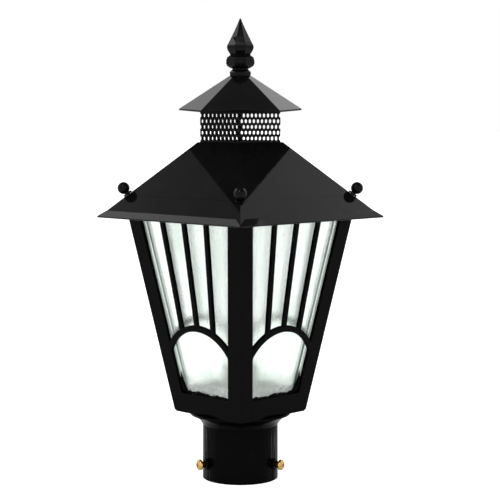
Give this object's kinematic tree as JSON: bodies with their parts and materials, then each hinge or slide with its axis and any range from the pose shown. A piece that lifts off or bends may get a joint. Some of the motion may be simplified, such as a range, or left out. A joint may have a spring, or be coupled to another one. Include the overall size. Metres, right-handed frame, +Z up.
{
  "type": "post top lantern",
  "caption": "Square flared lantern on a round post neck: glazed sides with bars and an arch, hipped roof, perforated vent band, small upper roof and spear finial.",
  "frame": {"origin": "centre of the neck's bottom rim", "axes": "+Z up along the post, the four glazed sides face +X, +Y, -X and -Y"},
  "size_m": [0.218, 0.218, 0.4911],
  "materials": {
    "frame_paint": "gloss",
    "base_paint": "gloss",
    "roof_paint": "gloss",
    "vent_paint": "satin",
    "finial_paint": "gloss",
    "clear_glass": "polished",
    "polished_brass": "polished",
    "zinc_steel": "satin",
    "porcelain": "gloss",
    "contact_brass": "satin"
  },
  "bodies": {
    "lantern": {"corner_post_1": "frame_paint", "corner_post_2": "frame_paint", "corner_post_3": "frame_paint", "corner_post_4": "frame_paint", "bottom_rail_1": "frame_paint", "bottom_rail_2": "frame_paint", "bottom_rail_3": "frame_paint", "bottom_rail_4": "frame_paint", "head_rails": "frame_paint", "arch_ring_1": "frame_paint", "arch_ring_2": "frame_paint", "arch_ring_3": "frame_paint", "arch_ring_4": "frame_paint", "glazing_bars_1": "frame_paint", "glazing_bars_2": "frame_paint", "glazing_bars_3": "frame_paint", "glazing_bars_4": "frame_paint", "corner_lugs": "frame_paint", "post_neck": "base_paint", "collar": "base_paint", "base_plate": "base_paint", "clamp_nuts": "base_paint", "roof_panel_1": "roof_paint", "roof_panel_2": "roof_paint", "roof_panel_3": "roof_paint", "roof_panel_4": "roof_paint", "upper_roof": "roof_paint", "vent_frame": "roof_paint", "vent_lid": "roof_paint", "vent_panel_1": "vent_paint", "vent_panel_2": "vent_paint", "vent_panel_3": "vent_paint", "vent_panel_4": "vent_paint", "finial": "finial_paint", "finial_seat": "finial_paint", "glass_pane_1": "clear_glass", "glass_pane_2": "clear_glass", "glass_pane_3": "clear_glass", "glass_pane_4": "clear_glass", "finial_stud": "zinc_steel", "stud_nut": "zinc_steel", "stud_washer": "zinc_steel", "base_screws": "zinc_steel", "holder_nipple": "zinc_steel", "nipple_nut": "zinc_steel", "glass_clips": "zinc_steel", "holder_body": "porcelain", "holder_shell": "contact_brass", "holder_contact": "contact_brass"},
    "clamp_screw_1": {"clamp_screw_1": "polished_brass"},
    "clamp_screw_2": {"clamp_screw_2": "polished_brass"},
    "clamp_screw_3": {"clamp_screw_3": "polished_brass"},
    "ball_screw_1": {"ball_screw_1": "finial_paint"},
    "ball_screw_2": {"ball_screw_2": "finial_paint"},
    "ball_screw_3": {"ball_screw_3": "finial_paint"},
    "ball_screw_4": {"ball_screw_4": "finial_paint"}
  },
  "joints": [
    {"name": "clamp_screw_1_turn_in", "type": "slide", "parent": "lantern", "child": "clamp_screw_1", "axis": [-0.9659, -0.2588, 0], "range_m": [-0.006, 0.0035]},
    {"name": "clamp_screw_2_turn_in", "type": "slide", "parent": "lantern", "child": "clamp_screw_2", "axis": [0.7071, -0.7071, 0], "range_m": [-0.006, 0.0035]},
    {"name": "clamp_screw_3_turn_in", "type": "slide", "parent": "lantern", "child": "clamp_screw_3", "axis": [0.2588, 0.9659, 0], "range_m": [-0.006, 0.0035]},
    {"name": "ball_screw_1_back_out", "type": "slide", "parent": "lantern", "child": "ball_screw_1", "axis": [0.4238, 0.4238, 0.8005], "range_m": [0, 0.02]},
    {"name": "ball_screw_2_back_out", "type": "slide", "parent": "lantern", "child": "ball_screw_2", "axis": [-0.4238, 0.4238, 0.8005], "range_m": [0, 0.02]},
    {"name": "ball_screw_3_back_out", "type": "slide", "parent": "lantern", "child": "ball_screw_3", "axis": [-0.4238, -0.4238, 0.8005], "range_m": [0, 0.02]},
    {"name": "ball_screw_4_back_out", "type": "slide", "parent": "lantern", "child": "ball_screw_4", "axis": [0.4238, -0.4238, 0.8005], "range_m": [0, 0.02]}
  ]
}
